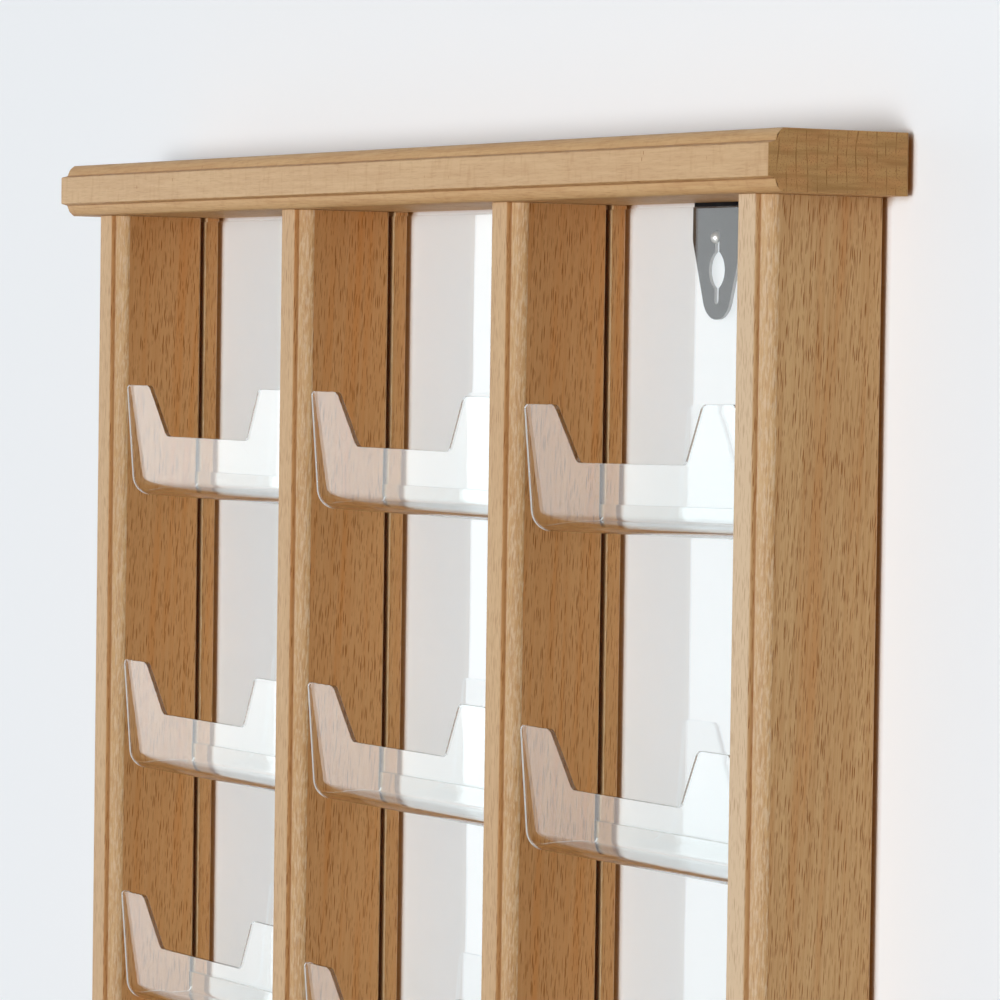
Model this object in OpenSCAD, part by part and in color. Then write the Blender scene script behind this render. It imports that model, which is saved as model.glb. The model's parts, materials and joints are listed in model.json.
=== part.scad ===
// Wall rack for index cards: a moulded beech frame with clear pockets that slide in grooves.
// Frame: +X to the right, -Y to the front, +Z up. The origin is the middle of the top rail's
// back face, so the wall is the plane Y = 0.

/* [Bays] */
// Clear width between two posts
bay_width = 154.5; // [120:0.5:200]
// Height from one pocket row to the next
row_pitch = 127; // [120:1:150]
// Drop from the top rail to the first row's tabs
first_drop = 80; // [60:1:120]
// Free height under the last row
foot_space = 17; // [5:1:60]

/* [Beech frame] */
// Width of a post across its front
post_width = 24; // [22:0.5:30]
// Depth of a post from its front strip to the wall
post_depth = 54.5; // [52:0.5:62]
// Height of a rail
rail_height = 24; // [22:0.5:32]
// Depth of a rail from its front band to the wall
rail_depth = 64.5; // [62:0.5:80]
// Length of rail past the outer posts at each end
rail_overhang = 16; // [2:0.5:30]

/* [Moulding] */
// Radius of the rounding beside the front strip
round_radius = 7.5; // [6:0.5:9]
// Slope at which the rounding starts at the step, in degrees
round_start = 12; // [5:1:20]
// Slope at which it ends at a post's side, in degrees
post_round_end = 70; // [50:1:75]
// Slope at which it ends at a rail's top and bottom, in degrees
rail_round_end = 60; // [50:1:75]
// Depth of the step between strip and rounding on a post
post_step = 2; // [1:0.1:3]
// Depth of that step on a rail
rail_step = 3.2; // [1:0.1:4]
// Sideways slant of that step
step_slant = 0.8; // [0.2:0.1:1.5]

/* [Grooves and joinery] */
// Depth of the groove into the post
groove_depth = 4; // [3:0.5:6]
// Wood left behind the groove
groove_back = 6.8; // [5:0.1:9]
// Diameter of a dowel
dowel_diameter = 8; // [6:1:8]
// Length of a dowel
dowel_length = 32; // [24:1:36]

/* [Clear sheet] */
// Thickness of the back sheets
sheet_thickness = 1; // [1:0.1:1.5]
// Gap left above a back sheet, below the top rail
sheet_top_gap = 2; // [1:0.5:5]

/* [Pocket] */
// Thickness of the bent pocket sheet
pocket_thickness = 2; // [1.5:0.1:2.5]
// Height of a pocket from its floor to its tabs
pocket_height = 52; // [44:1:60]
// Distance of the tab tops from the wall
pocket_reach = 49; // [46:0.5:52]
// Forward lean of the front, in degrees
front_lean = 4.7; // [0:0.1:8]
// Height of the back lip
lip_height = 11; // [9:0.5:20]
// Depth of the cut-out in the front
cut_depth = 23.5; // [15:0.5:28]
// Width of a tab along its top
tab_width = 23; // [16:0.5:30]
// Distance of the cut-out's floor corner from the pocket's side
cut_foot = 37.5; // [33:0.5:50]
// Outer radius of the bend under the front
front_bend = 9.5; // [4:0.5:12]
// Outer radius of the bend under the back lip
back_bend = 4; // [2.5:0.5:5]
// Radius of the cut-out's four corners
cut_round = 4; // [2:0.5:5]
// Radius of the outer tab corners
tab_round = 2.5; // [1:0.5:4]

/* [Hanger plate] */
// Width of a hanger plate
hanger_width = 35; // [28:0.5:40]
// Height of a hanger plate
hanger_height = 65; // [58:0.5:75]
// Length of plate hanging below the rail
hanger_drop = 47; // [44:0.5:52]
// Thickness of a hanger plate
hanger_thickness = 1.5; // [1:0.1:2]
// Distance of a hanger plate from the middle of its bay, towards the middle of the rack
hanger_inset = 7.5; // [0:0.5:20]
// Width of the keyhole's narrow slots
slot_width = 3; // [2.5:0.1:4]
// Width of the keyhole's wide middle
lens_width = 11.3; // [9:0.1:13]

/* [Hidden] */
$fn = 64;
columns = 3;
rows = 5;

// How far each pocket is pushed up from even spacing, top row first
push_up = [[0, 0, -1], [-3, -1.5, -6.5], [14, 1.5, 0], [0, 0, 0], [0, 0, 0]];

// Turn of the top pocket in the last column, which hangs askew in its clearance, in degrees
askew = 1;

// Running clearances
slip = 0.1;
side_gap = 0.8;
fit_slip = 0.05;
end_play = 0.5;

// Length by which cutting shapes pass the faces they cut
past = 1;

pitch = bay_width + post_width;
frame_width = columns * pitch + post_width;
rail_length = frame_width + 2 * rail_overhang;
post_length = first_drop + (rows - 1) * row_pitch + pocket_height + foot_space;
post_top = -rail_height / 2;
post_bottom = post_top - post_length;

// The groove holds the back sheet with the pocket lip in front of it
groove_width = sheet_thickness + pocket_thickness + 3 * slip;
sheet_back = groove_back + slip;
lip_back = sheet_back + sheet_thickness + slip;
groove_reach = groove_depth - end_play;
sheet_width = bay_width + 2 * groove_reach;
pocket_width = bay_width - 2 * side_gap;

// Dowel places along the depth of a post, from the wall
dowel_places = [17, 40];
dowel_in_rail = 14;

hanger_offset = pitch - hanger_inset;

// Fixing screws of the hanger plates
screw_diameter = 3;
screw_head = 6;
screw_length = 18;
screw_spread = 9;
screw_rise = 9;

// Keyhole heights below the rail
lens_middle = 27.2;
slot_top = 14.2;
slot_bottom = 39.3;
taper_start = 15.3;
foot_radius = 9.9;

beech = "burlywood";
clear = [0.9, 0.93, 0.95, 0.35];
steel = "dimgray";

function post_x(i) = -frame_width / 2 + post_width / 2 + i * pitch;
function bay_x(c) = post_x(c) + pitch / 2;
function pocket_top(c, r) = post_top - first_drop - r * row_pitch + push_up[r][c];

POSTS = [for (i = [0:columns]) str("post_", i + 1)];
SHEETS = [for (c = [0:columns - 1]) str("back_sheet_", c + 1)];
POCKETS = [for (c = [0:columns - 1], r = [0:rows - 1]) str("pocket_", c + 1, "_", r + 1)];

// Moulded section in 2D: strip to the front at -depth, back at 0, centred on the first axis.
// Beside the strip a step leads down to a rounding, which meets the side at an edge.
module moulded_section(width, depth, step, round_end) {
    round_width = round_radius * (sin(round_end) - sin(round_start));
    round_depth = round_radius * (cos(round_start) - cos(round_end));
    foot = width / 2 - round_width;
    base = depth - step;
    shoulder = base - round_depth;
    centre = [foot - round_radius * sin(round_start), base - round_radius * cos(round_start)];
    translate([-width / 2, -shoulder]) square([width, shoulder]);
    intersection() {
        translate([-width / 2, -base]) square([width, round_depth + past]);
        union() {
            translate([-foot, -base]) square([2 * foot, base]);
            for (side = [-1, 1])
                translate([side * centre.x, -centre.y]) circle(round_radius);
        }
    }
    polygon([
        [step_slant - foot, -depth], [foot - step_slant, -depth], [foot, -base],
        [foot, past - base], [-foot, past - base], [-foot, -base]
    ]);
}

// Dowel holes of one frame corner row, drilled along Z around the given height
module dowel_row(height, radius) {
    for (i = [0:columns], place = dowel_places)
        translate([post_x(i), -place, height]) cylinder(h = dowel_length, r = radius);
}

module dowel_holes(height) {
    dowel_row(height, dowel_diameter / 2 + fit_slip);
}

module rail_bar() {
    rotate([90, 0, 90])
        linear_extrude(rail_length, center = true)
            rotate(-90) moulded_section(rail_height, rail_depth, rail_step, rail_round_end);
}

module top_rail() {
    color(beech)
        difference() {
            rail_bar();
            dowel_holes(post_top + dowel_in_rail - dowel_length);
            for (side = [-1, 1])
                translate([side * hanger_offset, 0, post_top]) hanger_seat();
        }
}

module bottom_rail() {
    color(beech)
        difference() {
            translate([0, 0, post_bottom - rail_height / 2]) rail_bar();
            dowel_holes(post_bottom - dowel_in_rail);
        }
}

module groove_cut(side) {
    translate([side * (post_width / 2 - groove_depth / 2), -groove_back - groove_width / 2])
        square([groove_depth + slip, groove_width], center = true);
}

module post(i) {
    color(beech)
        difference() {
            translate([post_x(i), 0, post_bottom])
                linear_extrude(post_length)
                    difference() {
                        moulded_section(post_width, post_depth, post_step, post_round_end);
                        if (i > 0) groove_cut(-1);
                        if (i < columns) groove_cut(1);
                    }
            dowel_holes(post_top + dowel_in_rail - dowel_length);
            dowel_holes(post_bottom - dowel_in_rail);
        }
}

module back_sheet(c) {
    color(clear)
        translate([bay_x(c) - sheet_width / 2, -sheet_back - sheet_thickness, post_bottom])
            cube([sheet_width, sheet_thickness, post_length - sheet_top_gap]);
}

// Outline of a trough with rounded floor, as depth from the wall against height above the floor.
// inset moves every wall inwards, so a second outline hollows the first one out.
module trough_outline(inset, top) {
    front_r = front_bend - inset;
    back_r = back_bend - inset;
    wall = lip_back + inset;
    slope = tan(front_lean);
    front_foot = pocket_reach - pocket_height * slope - inset / cos(front_lean);
    front_x = front_foot + front_bend * slope - front_r / cos(front_lean);
    polygon([
        [wall, top], [wall, back_bend], [wall + back_r, inset],
        [front_x, inset],
        [front_x + front_r * cos(front_lean), front_bend - front_r * sin(front_lean)],
        [front_foot + top * slope, top]
    ]);
    translate([wall + back_r, back_bend]) circle(back_r);
    translate([front_x, front_bend]) circle(front_r);
}

// Side section of a pocket: front, floor and back lip of one bent sheet
module pocket_section() {
    difference() {
        trough_outline(0, pocket_height);
        trough_outline(pocket_thickness, pocket_height + past);
        translate([0, lip_height]) square([pocket_reach / 2, pocket_height]);
    }
}

// Half of the cut-out in the front, from the middle outwards, measured from the floor up
module cut_half() {
    edge = pocket_width / 2;
    foot = edge - cut_foot;
    crest = edge - tab_width;
    low = pocket_height - cut_depth;
    run = crest - foot;
    slant = atan2(cut_depth, run);
    back = cut_round * tan(slant / 2);
    difference() {
        polygon([
            [-past, low], [foot - back, low],
            [foot + back * cos(slant), low + back * sin(slant)],
            [crest - back * cos(slant), pocket_height - back * sin(slant)],
            [crest + back, pocket_height], [crest + back, pocket_height + past],
            [-past, pocket_height + past]
        ]);
        translate([crest + back, pocket_height - cut_round]) circle(cut_round);
    }
    translate([foot - back, low + cut_round]) circle(cut_round);
}

// Rounding taken off the outer corner of a tab
module tab_corner() {
    edge = pocket_width / 2;
    difference() {
        translate([edge - tab_round, pocket_height - tab_round]) square(tab_round + past);
        translate([edge - tab_round, pocket_height - tab_round]) circle(tab_round);
    }
}

// One pocket with its floor on Z = 0. Only its lip is wide enough to run in the grooves.
module pocket_body() {
    ear = (sheet_width - pocket_width) / 2 + past;
    difference() {
        rotate([90, 0, -90])
            linear_extrude(sheet_width, center = true)
                pocket_section();
        for (side = [0, 1])
            mirror([side, 0, 0]) {
                translate([pocket_width / 2, -2 * pocket_reach - lip_back - pocket_thickness, -past])
                    cube([ear, 2 * pocket_reach, 2 * pocket_height]);
                translate([pocket_width / 2, -pocket_reach, -past])
                    cube([ear, pocket_reach, back_bend + past]);
            }
        rotate([90, 0, 0])
            linear_extrude(2 * pocket_reach)
                for (side = [0, 1])
                    mirror([side, 0]) {
                        cut_half();
                        tab_corner();
                    }
    }
}

module pocket(c, r) {
    turn = c == columns - 1 && r == 0 ? askew : 0;
    color(clear)
        translate([bay_x(c), 0, pocket_top(c, r) - pocket_height / 2])
            rotate([0, -turn, 0])
                translate([0, 0, -pocket_height / 2]) pocket_body();
}

// Outline of a hanger plate seen from behind, with its height measured from the rail's underside
module hanger_outline(grow) {
    half = hanger_width / 2 + grow;
    top = hanger_height - hanger_drop + grow;
    foot_z = foot_radius - hanger_drop;
    rise = -taper_start - foot_z;
    reach = sqrt(half * half + rise * rise);
    tangent = atan2(rise, half) - acos(foot_radius / reach);
    foot_half = foot_radius * cos(tangent);
    foot_end = foot_z + foot_radius * sin(tangent);
    polygon([
        [half, top], [-half, top], [-half, -taper_start],
        [-foot_half, foot_end], [foot_half, foot_end],
        [half, -taper_start]
    ]);
    translate([0, foot_z]) circle(foot_radius);
}

// Keyhole: a pointed oval for the screw head between two narrow slots for its shank
module keyhole() {
    lens_radius = 0.75 * lens_width;
    lens_shift = lens_radius - lens_width / 2;
    intersection() {
        translate([lens_shift, -lens_middle]) circle(lens_radius);
        translate([-lens_shift, -lens_middle]) circle(lens_radius);
    }
    translate([-slot_width / 2, -slot_bottom]) square([slot_width, slot_bottom - slot_top]);
    for (height = [slot_top, slot_bottom])
        translate([0, -height]) circle(slot_width / 2);
}

// Countersunk screw pointing to the front, head flush with Y = 0
module fixing_screw(grow) {
    rotate([90, 0, 0]) {
        cylinder(h = screw_length + grow, d = screw_diameter + 2 * grow);
        cylinder(h = hanger_thickness, d1 = screw_head + 2 * grow, d2 = screw_diameter + 2 * grow);
    }
}

module fixing_screws(grow) {
    for (side = [-1, 1])
        translate([side * screw_spread, 0, screw_rise]) fixing_screw(grow);
}

// Recess in the rail's back for a hanger plate and its screws
module hanger_seat() {
    translate([0, past, 0])
        rotate([90, 0, 0])
            linear_extrude(hanger_thickness + slip + past) hanger_outline(slip);
    fixing_screws(fit_slip);
}

module hanger() {
    difference() {
        rotate([90, 0, 0])
            linear_extrude(hanger_thickness)
                difference() {
                    hanger_outline(0);
                    keyhole();
                }
        fixing_screws(fit_slip);
    }
}

module hanger_left() {
    color(steel)
        translate([-hanger_offset, 0, post_top]) hanger();
}

module hanger_right() {
    color(steel)
        translate([hanger_offset, 0, post_top]) hanger();
}

module hanger_screws() {
    color("silver")
        for (side = [-1, 1])
            translate([side * hanger_offset, 0, post_top]) fixing_screws(0);
}

module top_dowels() {
    color("tan")
        dowel_row(post_top + dowel_in_rail - dowel_length, dowel_diameter / 2);
}

module bottom_dowels() {
    color("tan")
        dowel_row(post_bottom - dowel_in_rail, dowel_diameter / 2);
}

top_rail();
bottom_rail();
for (i = [0:columns])
    post(i);
for (c = [0:columns - 1])
    back_sheet(c);
for (c = [0:columns - 1], r = [0:rows - 1])
    pocket(c, r);
hanger_left();
hanger_right();
hanger_screws();
top_dowels();
bottom_dowels();
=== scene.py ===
# Looks of a wall rack for index cards: lacquered beech, clear sheet and dark steel.
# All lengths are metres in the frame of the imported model: +X right, -Y front, +Z up.
import json
import math

import bpy
from mathutils import Matrix, Vector


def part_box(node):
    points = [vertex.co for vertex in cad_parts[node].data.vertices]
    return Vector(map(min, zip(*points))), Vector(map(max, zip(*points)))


MM = 0.001
TO_MM = (1 / MM, 1 / MM, 1 / MM)

# Camera, from the picture's vanishing lines
CAMERA_PLACE = Vector((1.7209, -1.0536, -0.0686))
CAMERA_AZIMUTH = math.radians(58.46)
CAMERA_DIP = math.radians(1.956)
CAMERA_ROLL = math.radians(0.813)
CAMERA_LENS = 168.05
SENSOR_WIDTH = 36.0

# Lamps, all turned to one point; sizes are width and height, powers are watts
LAMP_TARGET = (0, 0, -0.3)
LAMPS = {
    "window_left": {
        "place": (-2.73, -1.30, -0.22),
        "size": (2.0, 2.5),
        "power": 12.4,
        "colour": (0.93, 0.985, 0.995),
    },
    "fill_front": {
        "place": (1.75, -5.85, -0.45),
        "size": (2.8, 2.4),
        "power": 257,
        "colour": (1, 1, 1),
    },
    "behind": {
        "place": (0, 2.5, 0.2),
        "size": (3.0, 3.0),
        "power": 20,
        "colour": (1, 1, 1),
    },
}

# Light of the room from below, level and above, and its brightness where it is seen or mirrored
ROOM_COLOUR = (0.93, 0.94, 0.96, 1)
ROOM_BELOW = 0.18
ROOM_LEVEL = 0.38
ROOM_ABOVE = 0.10
BACKDROP = 0.8

# Rise of a direction, from -1 to 1, over which the light turns level and then to that from above
LEVEL_SPAN = (-0.6, 0.1)
ABOVE_SPAN = (0.1, 0.7)

# The wall stands a little behind the rack's back and has painted shade, tinted brown, where the rack is
# close
WALL_GAP = 2.7 * MM
WALL_HALF = 6.0
WALL_COLOUR = (0.925, 0.95, 0.977, 1)
WALL_SHADE = (0.36, 0.17, 0.05, 1)

# Screw in the wall that the right keyhole hangs on
SCREW_HEAD = 5.0 * MM
SCREW_DOME = 2.4 * MM
SCREW_SHANK = 2.6 * MM
SCREW_PLAY = 0.3 * MM
DOME_STEPS = 8
SCREW_SIDES = 32

# Depth of the step in the mouldings
POST_STEP = 2.0 * MM
RAIL_STEP = 3.2 * MM

# A step foot in front of all wood, for pieces with no moulding
NO_STEP = -1.0

# Broken edges: their width on wood and clear sheet, and the least angle of an edge that is broken
WOOD_EDGE = 0.4 * MM
CLEAR_EDGE = 0.12 * MM
SHARP_ANGLE = math.radians(40)
EDGE_SEGMENTS = 2

# Corners this close are one, and large faces have this much say in the shading of the edges beside them
WELD_REACH = 0.001 * MM
FACE_WEIGHT = 100

# Reach of the painted shade in corners, and the openness at which it starts and is full, on wood and on
# the wall
CORNER_REACH = 6 * MM
CORNER_SAMPLES = 8
WOOD_CORNERS = (0.55, 0.15)
WALL_CORNERS = (0.75, 0.35)

# Beech colours
BEECH_LIGHT = (0.60, 0.375, 0.172, 1)
BEECH_MID = (0.52, 0.295, 0.122, 1)
BEECH_DARK = (0.37, 0.168, 0.054, 1)
BEECH_RED = (0.56, 0.235, 0.065, 1)
# Pale tone that paints the lacquer's sheen on fronts and in streaks on roundings
BEECH_SHEEN_TONE = (0.68, 0.51, 0.335, 1)
END_LIGHT = (0.47, 0.262, 0.092, 1)
END_WARM = (0.48, 0.243, 0.084, 1)
END_DARK = (0.22, 0.098, 0.026, 1)
FLECK = (0.25, 0.082, 0.010, 1)
# Painted shade for the wood's grooves, steps and corners
CREASE_SHADE = (0.20, 0.052, 0.008, 1)

# Axes of the frame that lie across the rays, along the rays and along the grain, by the grain's own axis
WOOD_AXES = {"Z": ("Y", "X", "Z"), "X": ("Y", "Z", "X")}

# Lean of the grain against the length of a piece
GRAIN_LEAN = math.radians(-2.5)

# Patterns in planed beech: sizes in millimetres across the rays, along the rays and along the grain
BANDS = {"size": (26, 2.6, 320), "detail": 3.0}
STREAKS = {"size": (5, 9, 170)}
LINES = {"size": (1.4, 1.4, 55)}
CLOUDS = {"size": (40, 40, 130)}
FIBRES = {"size": (0.6, 0.6, 18), "detail": 3.0, "roughness": 0.65}
# Streaks of painted sheen on a rounding
SHEEN_STREAKS = {"size": (0.9, 0.9, 6), "detail": 3.0, "roughness": 0.7, "span": (0.44, 0.62)}
MOTTLE = {"size": (12, 12, 3), "detail": 3.0, "span": (0.5, 0.75)}

# Patterns in sawn end grain, with sizes in the same order
RINGS = {"size": (34, 3.0, 320), "detail": 4.0, "roughness": 0.6, "span": (0.38, 0.72)}
PATCHES = {"size": (12, 8, 300), "span": (0.4, 0.65)}
RAY_SWAY = {"size": (5, 25, 25), "detail": 1.0}
RAY_BREAKS = {"size": (3, 7, 7), "span": (0.35, 0.6)}
RAY_SPACING = 4.6

# Flecks and nicks: the room that each has and half its size, in millimetres in the same order
LONG_FLECKS = {"spacing": (0.9, 0.9, 7.2), "half_size": (0.3, 0.3, 4.2)}
SHORT_FLECKS = {"spacing": (0.9, 0.9, 4.5), "half_size": (0.24, 0.24, 1.7)}
NICKS = {"spacing": (9, 9, 24), "half_size": (4, 1.5, 0.4)}

# Strength of the faintest and the darkest dash, and where its soft rim starts and ends, in half sizes
DASH_STRENGTH = (0.4, 1.0)
DASH_RIM = (1.0, 0.5)

# Weights of the patterns in the tone of planed beech, and how dark the dark fibres are
BAND_WEIGHT = 0.45
STREAK_WEIGHT = 0.5
CLOUD_WEIGHT = 0.4
LINE_WEIGHT = 0.9
FIBRE_WEIGHT = 0.5

# Weights of rings and pores in end grain, of short flecks among long ones, and of mottling among nicks
RING_WEIGHT = 0.5
PORE_WEIGHT = 0.7
SHORT_FLECK_WEIGHT = 0.6
MOTTLE_WEIGHT = 0.2

# Values at which a change of colour starts and is full
TONE_SPAN = (0.44, 0.9)
DARK_FIBRE_SPAN = (0.45, 0.8)
WARM_SPAN = (0.5, 0.75)
NICK_SPAN = (0.7, 0.9)
RAY_SPAN = (0.07, 0.02)

# A moulding's rounding is where a face turns away from the front but not fully to the side
SLANT_START = (0.01, 0.03)
SLANT_END = (0.97, 0.9)

# Red that warm streaks add; on a rounding, shares of painted sheen streaks, of the front's sheen, of
# flecks
WARM_SHARE = 0.4
SHEEN_STREAK_SHARE = (0.5, 0.65)
ROUTED_SHEEN = 0.3
ROUTED_FLECKS = 0.5

# How strongly ray flecks show on the sides and on the ends of a piece
FLECK_SHOWN = (1.0, 0.6)

# Relief and gloss of lacquered beech: flecks lie below the fibres, and rough fibres are duller
FIBRE_RELIEF = {"strength": 0.8, "distance": 0.15 * MM}
FLECK_DEPTH = 0.3
WOOD_ROUGHNESS = (0.32, 0.62)

# Looks of the wooden pieces: shares of red (in part painted bay light), painted sheen on front and
# rounding, flecks on the front, painted shade in the step, and whether the front has marks across the
# grain
RAIL_LOOK = {
    "red": 0.15,
    "pale": 0.38,
    "rounding_sheen": 0.0,
    "front_flecks": 0.15,
    "step_shade": 0.5,
    "marked": True,
}
POST_LOOK = {
    "red": 0.55,
    "pale": 0.4,
    "rounding_sheen": 1.0,
    "front_flecks": 0.5,
    "step_shade": 0.8,
    "marked": False,
}
# The outer post gets little of the red that paints bay light on sides, and a strong painted sheen on its
# front
LAST_POST_LOOK = {**POST_LOOK, "red": 0.05, "pale": 0.95}
DOWEL_LOOK = {**POST_LOOK, "red": 0.2, "pale": 0.2, "front_flecks": 0.4}

# Each wooden piece is cut from another place of the same wood, in millimetres, so that no two are alike
FIRST_CUT = Vector((0, 5, 0))
CUT_STEP = Vector((37, 23, 811))
DOWEL_CUT = (40, 70, 10)

# Clear sheet, faintly tinted; its sawn edge is white, or painted as dark as the shaded groove it sits in
CLEAR_TINT = (0.972, 0.988, 0.988, 1)
SAWN_EDGE = (0.99, 0.99, 0.985, 1)
GROOVE_SHADE_EDGE = (0.10, 0.018, 0.004, 1)
SAWN_SPAN = (0.9, 0.97)

# Light that passes straight through the sheet, and light that is mirrored in it more than once
PASSED_TINT = (0.978, 0.988, 0.988, 1)
CAUGHT_TINT = (0.85, 0.84, 0.83, 1)
MIRRORED_ONCE = 1.5

# Waviness of the sheet and handling marks on it, with sizes in millimetres
WAVES = {"size": (30, 30, 90), "detail": 1.0}
WAVE_RELIEF = {"strength": 0.05, "distance": 1 * MM}
MARKS = {"size": (9, 9, 14), "detail": 4.0, "roughness": 0.7, "span": (0.5, 0.9)}
MARK_ROUGHNESS = 0.02

# Steel of the screws and of the hangers, each from dark to light, and bare on the hangers' cut edges
SCREW_DARK = (0.45, 0.44, 0.41, 1)
SCREW_LIGHT = (0.6, 0.59, 0.55, 1)
HANGER_DARK = (0.004, 0.004, 0.005, 1)
HANGER_LIGHT = (0.014, 0.014, 0.015, 1)
HANGER_CUT = (0.30, 0.30, 0.30, 1)
CUT_SPAN = (0.8, 0.6)

# Blotches on the screws, rubbed spots on the hangers and rolling lines on both, with sizes in millimetres
BLOTCHES = {"size": (6, 6, 6), "detail": 3.0}
BLOTCH_SPAN = (0.3, 0.7)
SCREW_ROUGHNESS = (0.25, 0.45)
SPOTS = {"size": (5, 5, 5), "detail": 4.0, "roughness": 0.6}
SPOT_SPAN = (0.4, 0.75)
HANGER_ROUGHNESS = (0.68, 0.48)
ROLLING_LINES = {"size": (0.35, 0.35, 30)}
ROLLING_RELIEF = {"strength": 0.15, "distance": 0.05 * MM}


class Nodes:
    """Short calls for building the node tree of a material, a lamp or the world."""

    def __init__(self, owner, output="ShaderNodeOutputMaterial"):
        owner.use_nodes = True
        self.output = output
        self.tree = owner.node_tree
        self.tree.nodes.clear()

    def add(self, kind, inputs=None, **settings):
        node = self.tree.nodes.new(kind)
        for key, value in settings.items():
            setattr(node, key, value)
        for key, value in (inputs or {}).items():
            self.feed(node.inputs[key], value)
        return node

    def feed(self, socket, value):
        if isinstance(value, bpy.types.NodeSocket):
            self.tree.links.new(value, socket)
        else:
            socket.default_value = value

    def math(self, operation, *values, clamp=False):
        node = self.add("ShaderNodeMath", dict(enumerate(values)), operation=operation, use_clamp=clamp)
        return node.outputs[0]

    def between(self, value, start, end):
        """start where the value is 0, end where it is 1, in proportion between."""
        return self.math("MULTIPLY_ADD", value, end - start, start)

    def ramp(self, value, span):
        """0 where the span starts, 1 where it ends, smooth between."""
        inputs = {"Value": value, "From Min": span[0], "From Max": span[1]}
        return self.add("ShaderNodeMapRange", inputs, interpolation_type="SMOOTHSTEP").outputs[0]

    def vector_math(self, operation, *values):
        return self.add("ShaderNodeVectorMath", dict(enumerate(values)), operation=operation).outputs

    def scaled(self, vector, factors):
        return self.vector_math("MULTIPLY", vector, factors)["Vector"]

    def parts(self, vector):
        return self.add("ShaderNodeSeparateXYZ", {0: vector}).outputs

    def place(self):
        """Place in the frame, in metres."""
        return self.add("ShaderNodeTexCoord").outputs["Object"]

    def face_normal(self):
        """Direction of the face itself, with no smoothing at its edges."""
        return self.add("ShaderNodeNewGeometry").outputs["True Normal"]

    def noise(self, position, size, detail=2.0, roughness=0.5, span=None):
        """Soft noise with patches of about this size; a span stretches that part of it to 0 to 1."""
        shrunk = self.scaled(position, tuple(1 / s for s in size))
        inputs = {"Vector": shrunk, "Scale": 1.0, "Detail": detail, "Roughness": roughness}
        pattern = self.add("ShaderNodeTexNoise", inputs).outputs["Fac"]
        return self.ramp(pattern, span) if span else pattern

    def mix(self, factor, a, b):
        node = self.add("ShaderNodeMix", data_type="RGBA")
        self.feed(node.inputs["Factor"], factor)
        self.feed(node.inputs["A"], a)
        self.feed(node.inputs["B"], b)
        return node.outputs["Result"]

    def mix_shaders(self, factor, a, b):
        return self.add("ShaderNodeMixShader", {0: factor, 1: a.outputs[0], 2: b.outputs[0]})

    def openness(self, only_local=False, **inputs):
        """1 in the open, less in corners."""
        inputs["Distance"] = CORNER_REACH
        settings = {"only_local": only_local, "samples": CORNER_SAMPLES}
        return self.add("ShaderNodeAmbientOcclusion", inputs, **settings).outputs["AO"]

    def bump(self, height, strength, distance):
        inputs = {"Strength": strength, "Distance": distance, "Height": height}
        return self.add("ShaderNodeBump", inputs).outputs[0]

    def finish(self, shader):
        self.add(self.output, {"Surface": shader.outputs[0]})


def wood_space(nodes, grain, cut):
    """Place in millimetres and normal, each as across the rays, along the rays and along the grain."""
    turned = []
    for source in (nodes.place(), nodes.face_normal()):
        parts = nodes.parts(source)
        chosen = {i: parts[axis] for i, axis in enumerate(WOOD_AXES[grain])}
        turned.append(nodes.add("ShaderNodeCombineXYZ", chosen).outputs[0])
    lean = (0, GRAIN_LEAN, 0)
    inputs = {"Vector": turned[0], "Location": cut, "Rotation": lean, "Scale": TO_MM}
    return nodes.add("ShaderNodeMapping", inputs).outputs[0], turned[1]


def dashes(nodes, position, spacing, half_size):
    """Dashes, one in each cell of a stretched cell pattern, each of its own strength."""
    stretched = nodes.scaled(position, tuple(1 / s for s in spacing))
    cells = nodes.add("ShaderNodeTexVoronoi", {"Vector": stretched, "Scale": 1.0}).outputs
    offset = nodes.vector_math("SUBTRACT", stretched, cells["Position"])["Vector"]
    offset = nodes.scaled(offset, tuple(s / h for s, h in zip(spacing, half_size)))
    reach = nodes.vector_math("LENGTH", offset)["Value"]
    chance = nodes.add("ShaderNodeSeparateColor", {0: cells["Color"]}).outputs[0]
    return nodes.math("MULTIPLY", nodes.ramp(reach, DASH_RIM), nodes.between(chance, *DASH_STRENGTH))


def ray_flecks(nodes, position):
    """Long flecks along the grain with fainter short ones between them."""
    short = nodes.math("MULTIPLY", dashes(nodes, position, **SHORT_FLECKS), SHORT_FLECK_WEIGHT)
    return nodes.math("MAXIMUM", dashes(nodes, position, **LONG_FLECKS), short)


def cross_marks(nodes, position):
    """Faint mottling across the grain with a few dark nicks, as on a planed edge."""
    nicks = nodes.ramp(dashes(nodes, position, **NICKS), NICK_SPAN)
    return nodes.math("MULTIPLY_ADD", nodes.noise(position, **MOTTLE), MOTTLE_WEIGHT, nicks)


def end_grain(nodes, position, pores):
    """Colour of a sawn end: thin rays across faint growth rings, with pores."""
    across = nodes.parts(position)[0]
    sway = nodes.noise(position, **RAY_SWAY)
    turn = nodes.math("FRACT", nodes.math("MULTIPLY_ADD", across, 1 / RAY_SPACING, sway))
    from_middle = nodes.math("ABSOLUTE", nodes.math("SUBTRACT", turn, 0.5))
    rays = nodes.math("MULTIPLY", nodes.ramp(from_middle, RAY_SPAN), nodes.noise(position, **RAY_BREAKS))
    rings = nodes.math("MULTIPLY", nodes.noise(position, **RINGS), RING_WEIGHT)
    dark = nodes.math("MAXIMUM", rings, rays)
    dark = nodes.math("MAXIMUM", dark, nodes.math("MULTIPLY", pores, PORE_WEIGHT))
    light = nodes.mix(nodes.noise(position, **PATCHES), END_LIGHT, END_WARM)
    return nodes.mix(dark, light, END_DARK)


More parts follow.
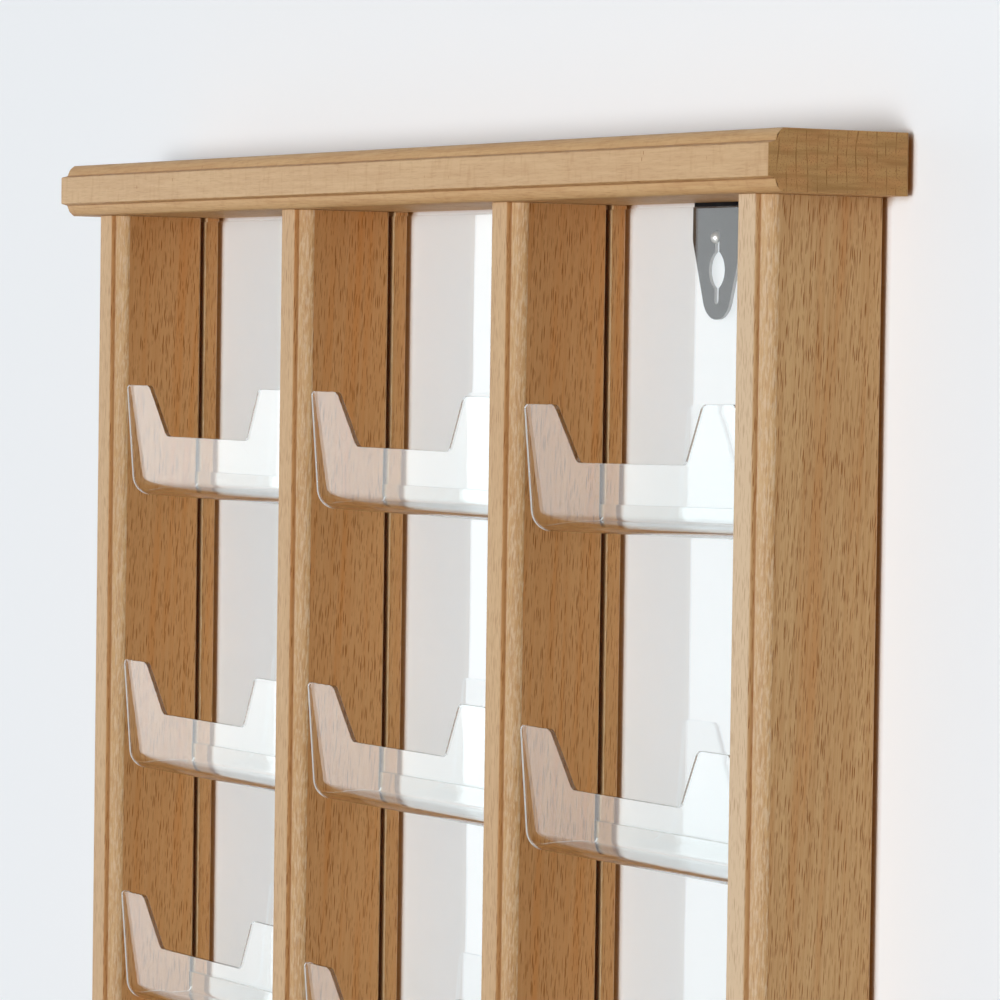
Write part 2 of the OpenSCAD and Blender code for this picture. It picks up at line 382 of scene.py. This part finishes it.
def planed_beech(nodes, position, streaks, fibres):
    """Colour of beech along its grain: growth bands, streaks, fine lines and clouds, with dark fibres."""
    bands = nodes.noise(position, **BANDS)
    clouds = nodes.noise(position, **CLOUDS)
    lines = nodes.math("SUBTRACT", nodes.noise(position, **LINES), 0.5)
    tone = nodes.math("MULTIPLY", bands, BAND_WEIGHT)
    for pattern, weight in ((streaks, STREAK_WEIGHT), (clouds, CLOUD_WEIGHT), (lines, LINE_WEIGHT)):
        tone = nodes.math("MULTIPLY_ADD", pattern, weight, tone)
    colour = nodes.mix(nodes.ramp(tone, TONE_SPAN), BEECH_LIGHT, BEECH_MID)
    dark = nodes.math("MULTIPLY", nodes.ramp(fibres, DARK_FIBRE_SPAN), FIBRE_WEIGHT)
    return nodes.mix(dark, colour, BEECH_DARK)


def moulding_masks(nodes, side, step_foot):
    """Masks of the moulding's rounding and of the riser of its step, which stands before step_foot."""
    depth = nodes.parts(nodes.place())[1]
    proud = nodes.math("LESS_THAN", depth, step_foot)
    riser = nodes.math("MULTIPLY", proud, nodes.ramp(depth, (step_foot - POST_STEP, step_foot)))
    slanted = nodes.math("MULTIPLY", nodes.ramp(side, SLANT_START), nodes.ramp(side, SLANT_END))
    return nodes.math("SUBTRACT", slanted, proud, clamp=True), riser


def red_share(nodes, streaks, side, routed, look):
    """Share of red on flat sides: more in warm streaks, and a share per piece that paints warm bounce and
    shade.
    """
    red = nodes.between(nodes.ramp(streaks, WARM_SPAN), look["red"], look["red"] + WARM_SHARE)
    flat = nodes.math("SUBTRACT", 1.0, routed)
    return nodes.math("MULTIPLY", flat, nodes.math("MULTIPLY", side, red))


def sheen_share(nodes, position, front, side, routed, look):
    """Share of painted sheen: on the front, and in streaks on the rounding that grow as it turns to the
    side.
    """
    least, most = (look["rounding_sheen"] * share for share in SHEEN_STREAK_SHARE)
    # Painted sheen streaks, more where the rounding turns away to the side
    streak_reach = nodes.math("MULTIPLY", routed, nodes.between(side, least, most))
    rounding_sheen = nodes.math("MULTIPLY", nodes.noise(position, **SHEEN_STREAKS), streak_reach)
    pale = nodes.between(routed, look["pale"], look["pale"] * ROUTED_SHEEN)
    return nodes.math("MULTIPLY_ADD", front, pale, rounding_sheen)


def beech(name, grain, cut, look, step_foot):
    """Lacquered beech with fibres, ray flecks and end grain; its moulding steps out before step_foot."""
    material = bpy.data.materials.new(name)
    nodes = Nodes(material)
    position, normal = wood_space(nodes, grain, cut)
    facing = nodes.scaled(normal, normal)
    front, side, end = nodes.parts(facing)
    streaks = nodes.noise(position, **STREAKS)
    fibres = nodes.noise(position, **FIBRES)
    flecks = ray_flecks(nodes, position)
    routed, riser = moulding_masks(nodes, side, step_foot)

    colour = planed_beech(nodes, position, streaks, fibres)
    # Redder sides: warm streaks, and painted warm bounce light and shade between the posts
    colour = nodes.mix(red_share(nodes, streaks, side, routed, look), colour, BEECH_RED)
    # Painted sheen: a paler tone on the front and in streaks on the rounding
    colour = nodes.mix(sheen_share(nodes, position, front, side, routed, look), colour, BEECH_SHEEN_TONE)
    if look["marked"]:
        marks = nodes.math("MULTIPLY", front, cross_marks(nodes, position))
        colour = nodes.mix(marks, colour, BEECH_DARK)
    # Painted shade on the riser of the moulding's step
    colour = nodes.mix(nodes.math("MULTIPLY", riser, look["step_shade"]), colour, BEECH_DARK)
    shown = nodes.vector_math("DOT_PRODUCT", facing, (look["front_flecks"], *FLECK_SHOWN))["Value"]
    shown = nodes.math("MULTIPLY", shown, nodes.between(routed, 1.0, ROUTED_FLECKS))
    colour = nodes.mix(nodes.math("MULTIPLY", flecks, shown), colour, FLECK)
    colour = nodes.mix(end, colour, end_grain(nodes, position, flecks))
    # Painted shade where faces of the wood close in, as in grooves and steps
    corners = nodes.ramp(nodes.openness(only_local=True, Normal=nodes.face_normal()), WOOD_CORNERS)

    height = nodes.math("SUBTRACT", fibres, nodes.math("MULTIPLY", flecks, FLECK_DEPTH))
    shader = nodes.add("ShaderNodeBsdfPrincipled", {
        "Base Color": nodes.mix(corners, colour, CREASE_SHADE),
        "Roughness": nodes.between(fibres, *WOOD_ROUGHNESS),
        "Normal": nodes.bump(height, **FIBRE_RELIEF),
        "IOR": 1.45,
        "Specular IOR Level": 0.2,
    })
    nodes.finish(shader)
    return material


def clear_sheet(name, edge_colour):
    """Polished clear plastic with a trace of waviness and handling marks, and dull sawn side edges."""
    material = bpy.data.materials.new(name)
    nodes = Nodes(material)
    position = nodes.scaled(nodes.place(), TO_MM)
    sideways = nodes.math("ABSOLUTE", nodes.parts(nodes.face_normal())[0])
    sawn = nodes.ramp(sideways, SAWN_SPAN)
    shader = nodes.add("ShaderNodeBsdfPrincipled", {
        "Base Color": nodes.mix(sawn, CLEAR_TINT, edge_colour),
        "Roughness": nodes.math("MULTIPLY", nodes.noise(position, **MARKS), MARK_ROUGHNESS),
        "Normal": nodes.bump(nodes.noise(position, **WAVES), **WAVE_RELIEF),
        "IOR": 1.49,
        "Transmission Weight": nodes.math("SUBTRACT", 1.0, sawn),
    })
    path = nodes.add("ShaderNodeLightPath").outputs
    caught = nodes.math("GREATER_THAN", path["Glossy Depth"], MIRRORED_ONCE)
    passed = nodes.math("MAXIMUM", path["Is Shadow Ray"], path["Is Diffuse Ray"])
    passed = nodes.math("MAXIMUM", passed, caught)
    tint = nodes.mix(caught, PASSED_TINT, CAUGHT_TINT)
    dimmed = nodes.add("ShaderNodeBsdfTransparent", {"Color": tint})
    nodes.finish(nodes.mix_shaders(passed, shader, dimmed))
    return material


def rolling_lines(nodes, position):
    """Relief of the faint lines that rolling leaves on steel."""
    return nodes.bump(nodes.noise(position, **ROLLING_LINES), **ROLLING_RELIEF)


def screw_steel():
    """Bright steel with faint rolling lines and blotches."""
    material = bpy.data.materials.new("screw_steel")
    nodes = Nodes(material)
    position = nodes.scaled(nodes.place(), TO_MM)
    blotches = nodes.noise(position, **BLOTCHES)
    shader = nodes.add("ShaderNodeBsdfPrincipled", {
        "Base Color": nodes.mix(nodes.ramp(blotches, BLOTCH_SPAN), SCREW_DARK, SCREW_LIGHT),
        "Metallic": 1.0,
        "Roughness": nodes.between(blotches, *SCREW_ROUGHNESS),
        "Normal": rolling_lines(nodes, position),
    })
    nodes.finish(shader)
    return material


def hanger_steel():
    """Dull black sheet steel with faint rolling lines, rubbed spots and bare cut edges."""
    material = bpy.data.materials.new("hanger_steel")
    nodes = Nodes(material)
    position = nodes.scaled(nodes.place(), TO_MM)
    spots = nodes.noise(position, **SPOTS)
    colour = nodes.mix(nodes.ramp(spots, SPOT_SPAN), HANGER_DARK, HANGER_LIGHT)
    frontal = nodes.math("ABSOLUTE", nodes.parts(nodes.face_normal())[1])
    shader = nodes.add("ShaderNodeBsdfPrincipled", {
        "Base Color": nodes.mix(nodes.ramp(frontal, CUT_SPAN), colour, HANGER_CUT),
        "Roughness": nodes.between(spots, *HANGER_ROUGHNESS),
        "Normal": rolling_lines(nodes, position),
        "IOR": 1.18,
    })
    nodes.finish(shader)
    return material


def wall_paint():
    """Pale wall that shows from the front only, so the rack's back can be seen from behind."""
    material = bpy.data.materials.new("wall_paint")
    nodes = Nodes(material)
    # Painted shade, tinted brown like bounce light off the wood, where the rack is close
    corners = nodes.ramp(nodes.openness(), WALL_CORNERS)
    paint = nodes.add("ShaderNodeBsdfDiffuse", {"Color": nodes.mix(corners, WALL_COLOUR, WALL_SHADE)})
    clear = nodes.add("ShaderNodeBsdfTransparent")
    behind = nodes.add("ShaderNodeNewGeometry").outputs["Backfacing"]
    nodes.finish(nodes.mix_shaders(behind, paint, clear))
    return material


def put_on(obj, material):
    obj.data.materials.clear()
    obj.data.materials.append(material)


def soften_edges(obj, width):
    """Joins the faces of a piece and breaks its sharp edges, so that they catch the light."""
    weld = obj.modifiers.new("joined_faces", "WELD")
    weld.merge_threshold = WELD_REACH
    bevel = obj.modifiers.new("broken_edges", "BEVEL")
    bevel.width = width
    bevel.segments = EDGE_SEGMENTS
    bevel.use_clamp_overlap = False
    bevel.limit_method = "ANGLE"
    bevel.angle_limit = SHARP_ANGLE
    normals = obj.modifiers.new("flat_faces", "WEIGHTED_NORMAL")
    normals.weight = FACE_WEIGHT


def dress_wood(pieces):
    """Gives rails and posts their beech, each cut from its own place, and breaks their edges."""
    wooden = {
        "top_rail": ("X", RAIL_LOOK, RAIL_STEP),
        "bottom_rail": ("X", RAIL_LOOK, RAIL_STEP),
        "post_1": ("Z", POST_LOOK, POST_STEP),
        "post_2": ("Z", POST_LOOK, POST_STEP),
        "post_3": ("Z", POST_LOOK, POST_STEP),
        "post_4": ("Z", LAST_POST_LOOK, POST_STEP),
    }
    for index, (name, (grain, look, step)) in enumerate(wooden.items()):
        cut = FIRST_CUT + index * CUT_STEP
        step_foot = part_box(name)[0].y + step
        put_on(pieces[name], beech(f"beech_{name}", grain, cut, look, step_foot))
        soften_edges(pieces[name], WOOD_EDGE)


def dress_rest(pieces, screw_metal):
    """Gives sheets, hangers and fasteners their materials, and breaks the sheets' edges."""
    clear_pocket = clear_sheet("clear_pocket", SAWN_EDGE)
    # The back sheets' sawn edges take painted groove shade
    clear_back = clear_sheet("clear_back", GROOVE_SHADE_EDGE)
    hanger_metal = hanger_steel()
    dowel_wood = beech("dowel_wood", "Z", DOWEL_CUT, DOWEL_LOOK, NO_STEP)
    for name, obj in pieces.items():
        if name.startswith("pocket"):
            put_on(obj, clear_pocket)
            soften_edges(obj, CLEAR_EDGE)
        elif name.startswith("back_sheet"):
            put_on(obj, clear_back)
            soften_edges(obj, CLEAR_EDGE)
        elif name.endswith("dowels"):
            put_on(obj, dowel_wood)
        elif name == "hanger_screws":
            put_on(obj, screw_metal)
        elif name.startswith("hanger"):
            put_on(obj, hanger_metal)
            # The thin plate leaves the wall bright that shows through its keyhole
            obj.visible_shadow = False


def new_object(name, data):
    obj = bpy.data.objects.new(name, data)
    bpy.context.scene.collection.objects.link(obj)
    return obj


def make_wall():
    mesh = bpy.data.meshes.new("wall")
    corners = [(x * WALL_HALF, WALL_GAP, z * WALL_HALF) for x, z in ((-1, -1), (1, -1), (1, 1), (-1, 1))]
    mesh.from_pydata(corners, [], [(0, 1, 2, 3)])
    wall = new_object("wall", mesh)
    put_on(wall, wall_paint())
    # The lamp behind the wall still lights the rack's back
    wall.visible_shadow = False


def make_wall_screw(record, material):
    """Round-headed screw, standing out of the wall into the right keyhole's slot."""
    seat = next(Vector(m["pos_m"]) for m in record["mounts"] if m["name"] == "hang_right")
    head_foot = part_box("hanger_right")[0].y - SCREW_PLAY
    profile = [(0, WALL_GAP), (SCREW_SHANK / 2, WALL_GAP), (SCREW_SHANK / 2, head_foot)]
    for i in range(DOME_STEPS + 1):
        turn = math.pi / 2 * i / DOME_STEPS
        profile.append((SCREW_HEAD / 2 * math.cos(turn), head_foot - SCREW_DOME * math.sin(turn)))
    points = []
    for i in range(SCREW_SIDES):
        angle = 2 * math.pi * i / SCREW_SIDES
        for radius, depth in profile:
            points.append((seat.x + radius * math.cos(angle), depth, seat.z + radius * math.sin(angle)))
    row = len(profile)
    faces = []
    for i in range(SCREW_SIDES):
        for j in range(row - 1):
            here = i * row + j
            beside = (i + 1) % SCREW_SIDES * row + j
            faces.append((here, beside, beside + 1, here + 1))
    mesh = bpy.data.meshes.new("wall_screw")
    mesh.from_pydata(points, [], faces)
    mesh.polygons.foreach_set("use_smooth", [True] * len(faces))
    screw = new_object("wall_screw", mesh)
    put_on(screw, material)


def soft_rim(light):
    """Lets a lamp fade from its middle towards its rim, like a bulb behind cloth."""
    nodes = Nodes(light, "ShaderNodeOutputLight")
    parts = nodes.parts(nodes.add("ShaderNodeNewGeometry").outputs["Parametric"])
    # The mean of share * (1 - share) is one sixth, so this keeps the power
    keep_power = 6.0
    strength = 1.0
    for share in (parts[0], parts[1]):
        fading = nodes.math("MULTIPLY", share, nodes.math("SUBTRACT", 1.0, share))
        strength = nodes.math("MULTIPLY", strength, nodes.math("MULTIPLY", fading, keep_power))
    nodes.finish(nodes.add("ShaderNodeEmission", {"Strength": strength}))


def make_lamp(name, place, size, power, colour):
    light = bpy.data.lights.new(name, "AREA")
    light.shape = "RECTANGLE"
    light.size, light.size_y = size
    light.energy = power
    light.color = colour
    soft_rim(light)
    lamp = new_object(name, light)
    lamp.visible_camera = False
    lamp.location = place
    lamp.rotation_mode = "QUATERNION"
    lamp.rotation_quaternion = (Vector(LAMP_TARGET) - Vector(place)).to_track_quat("-Z", "Y")


def make_world():
    """Even light from all round, weaker from below and above, and a pale backdrop to see or mirror."""
    world = bpy.data.worlds.new("room")
    bpy.context.scene.world = world
    nodes = Nodes(world, "ShaderNodeOutputWorld")
    rise = nodes.parts(nodes.add("ShaderNodeTexCoord").outputs["Generated"])[2]
    strength = nodes.between(nodes.ramp(rise, LEVEL_SPAN), ROOM_BELOW, ROOM_LEVEL)
    above = nodes.ramp(rise, ABOVE_SPAN)
    strength = nodes.math("MULTIPLY_ADD", above, ROOM_ABOVE - ROOM_LEVEL, strength)
    path = nodes.add("ShaderNodeLightPath").outputs
    seen = nodes.math("MAXIMUM", path["Is Camera Ray"], path["Is Glossy Ray"])
    seen = nodes.math("MAXIMUM", seen, path["Is Transmission Ray"])
    strength = nodes.math("MAXIMUM", strength, nodes.math("MULTIPLY", seen, BACKDROP))
    nodes.finish(nodes.add("ShaderNodeBackground", {"Color": ROOM_COLOUR, "Strength": strength}))


def make_camera():
    data = bpy.data.cameras.new("camera")
    data.lens = CAMERA_LENS
    data.sensor_width = SENSOR_WIDTH
    camera = new_object("camera", data)
    level = Vector((math.cos(CAMERA_AZIMUTH), math.sin(CAMERA_AZIMUTH), 0))
    ahead = Vector((-level.y, level.x, 0)) * math.cos(CAMERA_DIP) - Vector((0, 0, math.sin(CAMERA_DIP)))
    up = level.cross(ahead)
    right = level * math.cos(CAMERA_ROLL) + up * math.sin(CAMERA_ROLL)
    up = up * math.cos(CAMERA_ROLL) - level * math.sin(CAMERA_ROLL)
    turn = Matrix((right, up, -ahead)).transposed().to_4x4()
    camera.matrix_world = Matrix.Translation(CAMERA_PLACE) @ turn
    bpy.context.scene.camera = camera


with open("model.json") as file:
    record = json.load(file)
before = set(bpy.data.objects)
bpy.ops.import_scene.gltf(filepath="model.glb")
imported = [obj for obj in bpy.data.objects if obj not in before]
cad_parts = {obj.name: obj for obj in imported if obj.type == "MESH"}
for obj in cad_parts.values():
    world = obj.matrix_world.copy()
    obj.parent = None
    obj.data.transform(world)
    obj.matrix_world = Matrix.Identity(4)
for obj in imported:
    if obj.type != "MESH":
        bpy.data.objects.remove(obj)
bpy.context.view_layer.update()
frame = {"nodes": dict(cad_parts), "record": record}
make_camera()
bare_steel = screw_steel()
dress_wood(frame["nodes"])
dress_rest(frame["nodes"], bare_steel)
make_wall()
make_wall_screw(frame["record"], bare_steel)
for lamp_name, lamp_values in LAMPS.items():
    make_lamp(lamp_name, **lamp_values)
make_world()
bpy.context.scene.view_settings.view_transform = "Standard"
